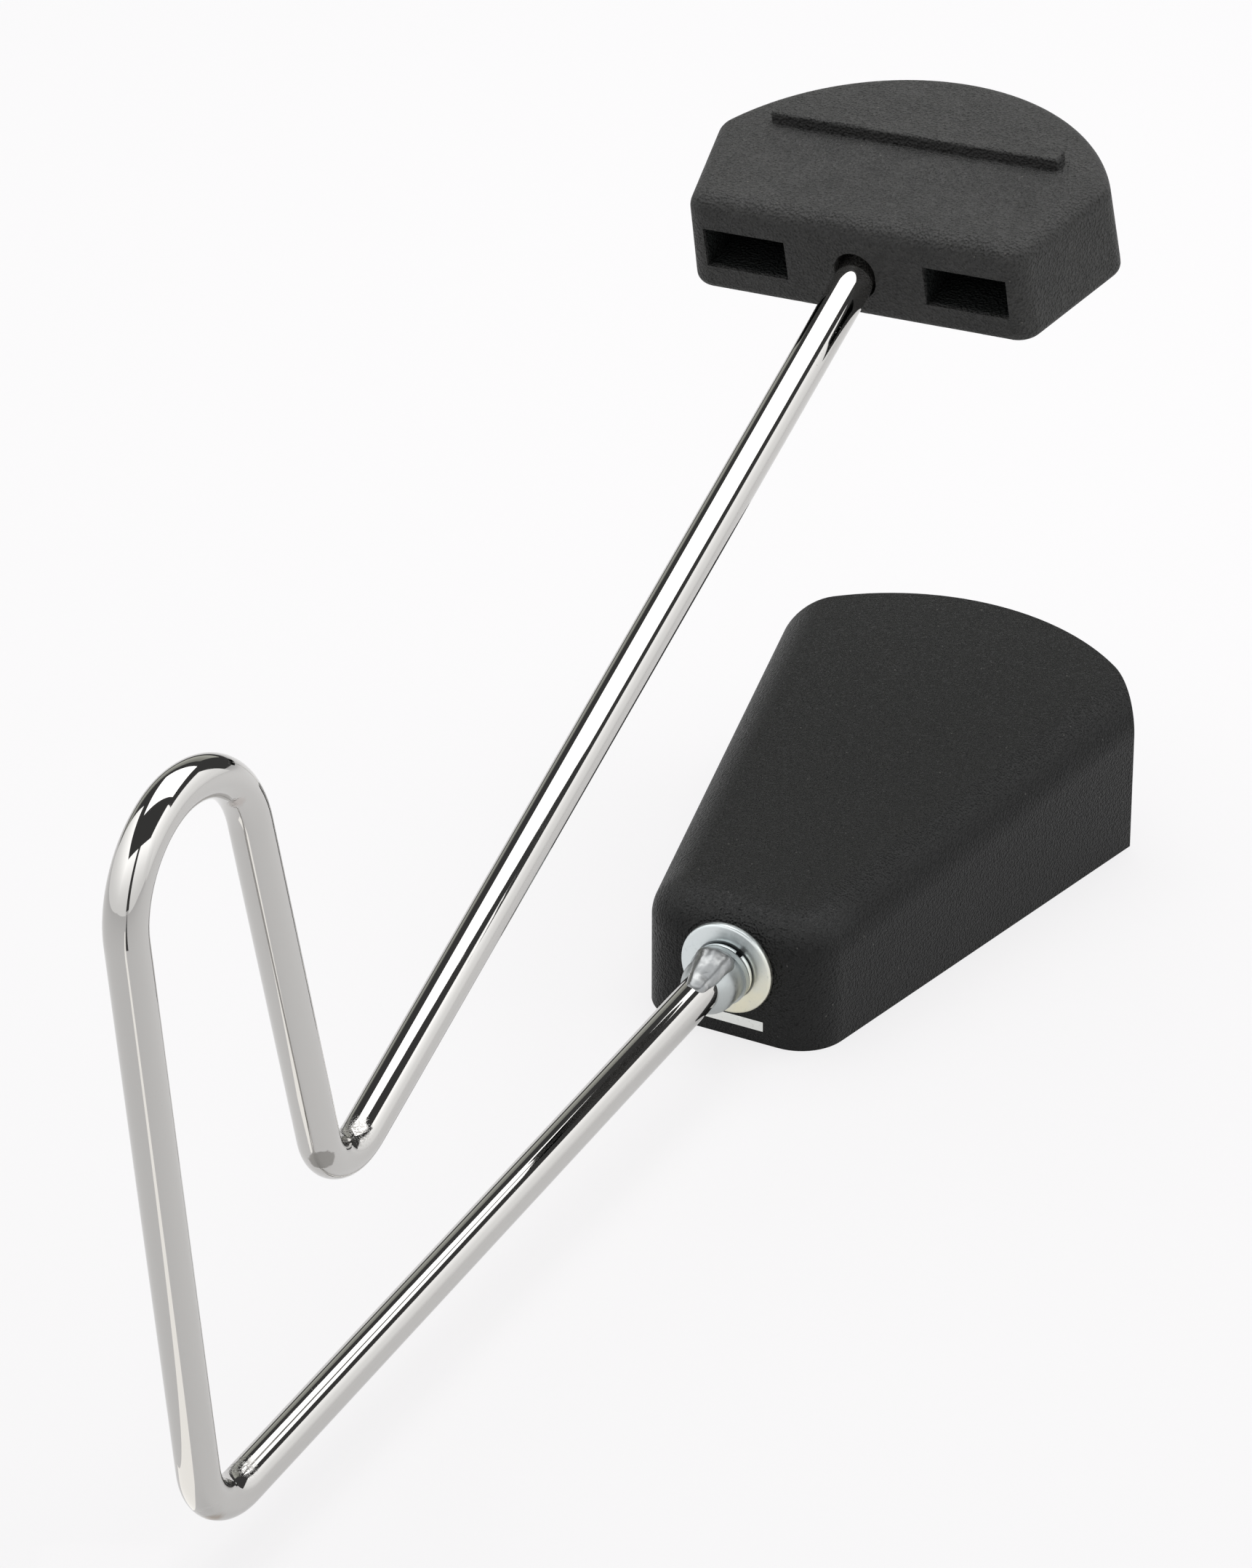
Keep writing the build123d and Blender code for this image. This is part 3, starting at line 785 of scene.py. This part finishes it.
def make_camera():
    """Long lens, level, looking down on the part."""
    data = bpy.data.cameras.new("camera")
    data.sensor_width = SENSOR_MM
    data.lens = FOCAL_PX / max(IMAGE_W, IMAGE_H) * SENSOR_MM
    camera = bpy.data.objects.new("camera", data)
    right = (CAMERA_RIGHT - CAMERA_AHEAD * CAMERA_RIGHT.dot(CAMERA_AHEAD)).normalized()
    up = right.cross(CAMERA_AHEAD)
    turn = Matrix((right, up, -CAMERA_AHEAD)).transposed()
    camera.matrix_world = Matrix.Translation(CAMERA_AT) @ turn.to_4x4()
    scene.collection.objects.link(camera)
    scene.camera = camera


def place(ahead, right, height):
    """Point given from the part's middle, in the camera's level directions."""
    return MIDDLE + AHEAD * ahead + RIGHT * right + UP * height


def glow_material(name, colour, strength, far, along, middle, length):
    """Plain glow, or one that runs from strength to far along the card."""
    material = bpy.data.materials.new(name)
    material.use_nodes = True
    tree = material.node_tree
    tree.nodes.clear()
    glow = tree.nodes.new("ShaderNodeEmission")
    glow.inputs["Color"].default_value = (*colour, 1)
    glow.inputs["Strength"].default_value = strength
    if far is not None:
        reach = tree.nodes.new("ShaderNodeVectorMath")
        reach.operation = "DOT_PRODUCT"
        wire(tree, reach.inputs[0], tree.nodes.new("ShaderNodeTexCoord").outputs["Object"])
        reach.inputs[1].default_value = along
        foot = middle - length / 2
        head = middle + length / 2
        wire(tree, glow.inputs["Strength"], ramp(tree, reach.outputs["Value"], foot, head, strength, far))
    out = tree.nodes.new("ShaderNodeOutputMaterial")
    tree.links.new(glow.outputs[0], out.inputs[0])
    return material


def card(name, centre, across, along, width, length, strength, far=None, colour=WHITE, lights=True):
    """Glowing rectangle out of the camera's sight; one without lights shows in gloss alone."""
    side = across * width / 2
    end = along * length / 2
    corners = [centre - side - end, centre + side - end, centre + side + end, centre - side + end]
    mesh = bpy.data.meshes.new(name)
    mesh.from_pydata(corners, [], [(0, 1, 2, 3)])
    thing = bpy.data.objects.new(name, mesh)
    scene.collection.objects.link(thing)
    mesh.materials.append(glow_material(name, colour, strength, far, along, centre.dot(along), length))
    thing.visible_camera = False
    if not lights:
        thing.visible_diffuse = False
        thing.visible_transmission = False
        thing.visible_shadow = False


def make_lights():
    """Softboxes over the part and to its right."""
    card("softbox_top", place(0.45, 0.075, 0.95), RIGHT, AHEAD, width=1.05, length=1.10, strength=2.3)
    card("softbox_right", place(0.05, 0.95, 0.525), AHEAD, UP, width=1.3, length=0.61,
         strength=SOFTBOX_FOOT, far=1.5)


def make_screens():
    """Pale screens round the camera, as the metal sees them, with a gap behind it."""
    card("screen_right_low", place(0.05, 0.95, 0.11), AHEAD, UP, width=1.3, length=0.22,
         strength=SCREEN_FOOT, far=SOFTBOX_FOOT, lights=False)
    card("screen_right", place(-1.0, 1.5, 0.92), AHEAD, UP, width=1.4, length=1.84,
         strength=SCREEN_FOOT, far=SCREEN_HEAD, lights=False)
    for side, middle in (("left", -1.17), ("right", 1.19)):
        card("screen_behind_" + side, place(-1.7, middle, 1.0), RIGHT, UP, width=2.06, length=2.0,
             strength=SCREEN_FOOT, far=SCREEN_HEAD, lights=False)
    card("screen_left", place(-0.35, -1.5, 0.92), AHEAD, UP, width=2.7, length=1.84,
         strength=SCREEN_FOOT, far=SCREEN_HEAD, lights=False)


def make_room():
    """Grey back wall, two strips on the floor and a dim room, as the metal sees them."""
    card("back_wall", place(1.7, -0.9, 0.62), RIGHT, UP, width=2.8, length=0.66,
         strength=0.55, far=0.3, colour=WALL_TINT, lights=False)
    from_grip = (place(-1.7, 0.01, 0) - place(-0.19, -0.097, 0)).normalized()
    card("floor_shade", place(-1.06, -0.035, JUST_ABOVE_FLOOR), from_grip.cross(UP), from_grip,
         width=0.05, length=1.27, strength=0.08, lights=False)
    card("floor_glint", place(-0.42, -0.118, JUST_ABOVE_FLOOR), RIGHT, AHEAD,
         width=0.028, length=0.5, strength=1.35, colour=WARM_WHITE, lights=False)
    for side, ahead, right in (("ahead", 1, 0), ("behind", -1, 0), ("left", 0, -1), ("right", 0, 1)):
        centre = place(ahead * ROOM_HALF, right * ROOM_HALF, ROOM_HIGH / 2)
        card("room_" + side, centre, AHEAD if right else RIGHT, UP, width=2 * ROOM_HALF, length=ROOM_HIGH,
             strength=ROOM_GLOW, lights=False)
    card("room_ceiling", place(0, 0, ROOM_HIGH), AHEAD, RIGHT, width=2 * ROOM_HALF, length=2 * ROOM_HALF,
         strength=ROOM_GLOW, lights=False)


def seen_directly(tree, in_metal=1.0):
    """1 for rays from the camera, and a share for rays from metal and glass."""
    rays = tree.nodes.new("ShaderNodeLightPath").outputs
    mirrored = most(tree, rays["Is Glossy Ray"], rays["Is Transmission Ray"])
    return most(tree, rays["Is Camera Ray"], times(tree, mirrored, in_metal))


def make_floor():
    """Pale floor, mostly its own white where seen directly, that keeps the shadow."""
    mesh = bpy.data.meshes.new("floor")
    corners = [(x * FLOOR_HALF, y * FLOOR_HALF, 0) for x, y in ((-1, -1), (1, -1), (1, 1), (-1, 1))]
    mesh.from_pydata(corners, [], [(0, 1, 2, 3)])
    floor = bpy.data.objects.new("floor", mesh)
    scene.collection.objects.link(floor)
    material = bpy.data.materials.new("floor")
    material.use_nodes = True
    tree = material.node_tree
    shader = tree.nodes["Principled BSDF"]
    shader.inputs["Base Color"].default_value = (*FLOOR_PALE, 1)
    shader.inputs["Roughness"].default_value = FLOOR_ROUGHNESS
    white = tree.nodes.new("ShaderNodeEmission")
    white.inputs["Color"].default_value = (*FLOOR_WHITE, 1)
    mix = tree.nodes.new("ShaderNodeMixShader")
    wire(tree, mix.inputs["Fac"], times(tree, seen_directly(tree, FLOOR_WHITE_IN_METAL), FLOOR_OWN_WHITE))
    wire(tree, mix.inputs[1], shader.outputs[0])
    wire(tree, mix.inputs[2], white.outputs[0])
    wire(tree, tree.nodes["Material Output"].inputs["Surface"], mix.outputs[0])
    mesh.materials.append(material)


def make_world():
    """White where seen directly, soft fill elsewhere."""
    world = bpy.data.worlds.new("world")
    scene.world = world
    world.use_nodes = True
    tree = world.node_tree
    fill = tree.nodes["Background"]
    fill.inputs["Color"].default_value = (*WHITE, 1)
    wire(tree, fill.inputs["Strength"], ramp(tree, seen_directly(tree), 0.0, 1.0, SOFT_FILL, 1.0))


chrome = make_chrome()
zinc = make_zinc("zinc_plating", bright=0.80, warmth=1.0)
bolt_zinc = make_zinc("bolt_plating", bright=0.50, warmth=0.15)
pin_steel = make_pin_steel()

make_rod(chrome)
make_flat_washer(zinc)
make_lock_washer(zinc)
make_weld(make_weld_metal())
dress("sound_box", make_box_plastic())
dress("striker", make_rubber())
dress("rattle_plate", make_sheet_zinc())
dress("mounting_bolt", bolt_zinc)
for name in ("inner_washer", "nut"):
    dress(name, zinc)
for name in nodes:
    if name.startswith("rattle_pin"):
        dress(name, pin_steel)

make_camera()
make_floor()
make_lights()
make_screens()
make_room()
make_world()
scene.view_settings.view_transform = "Standard"
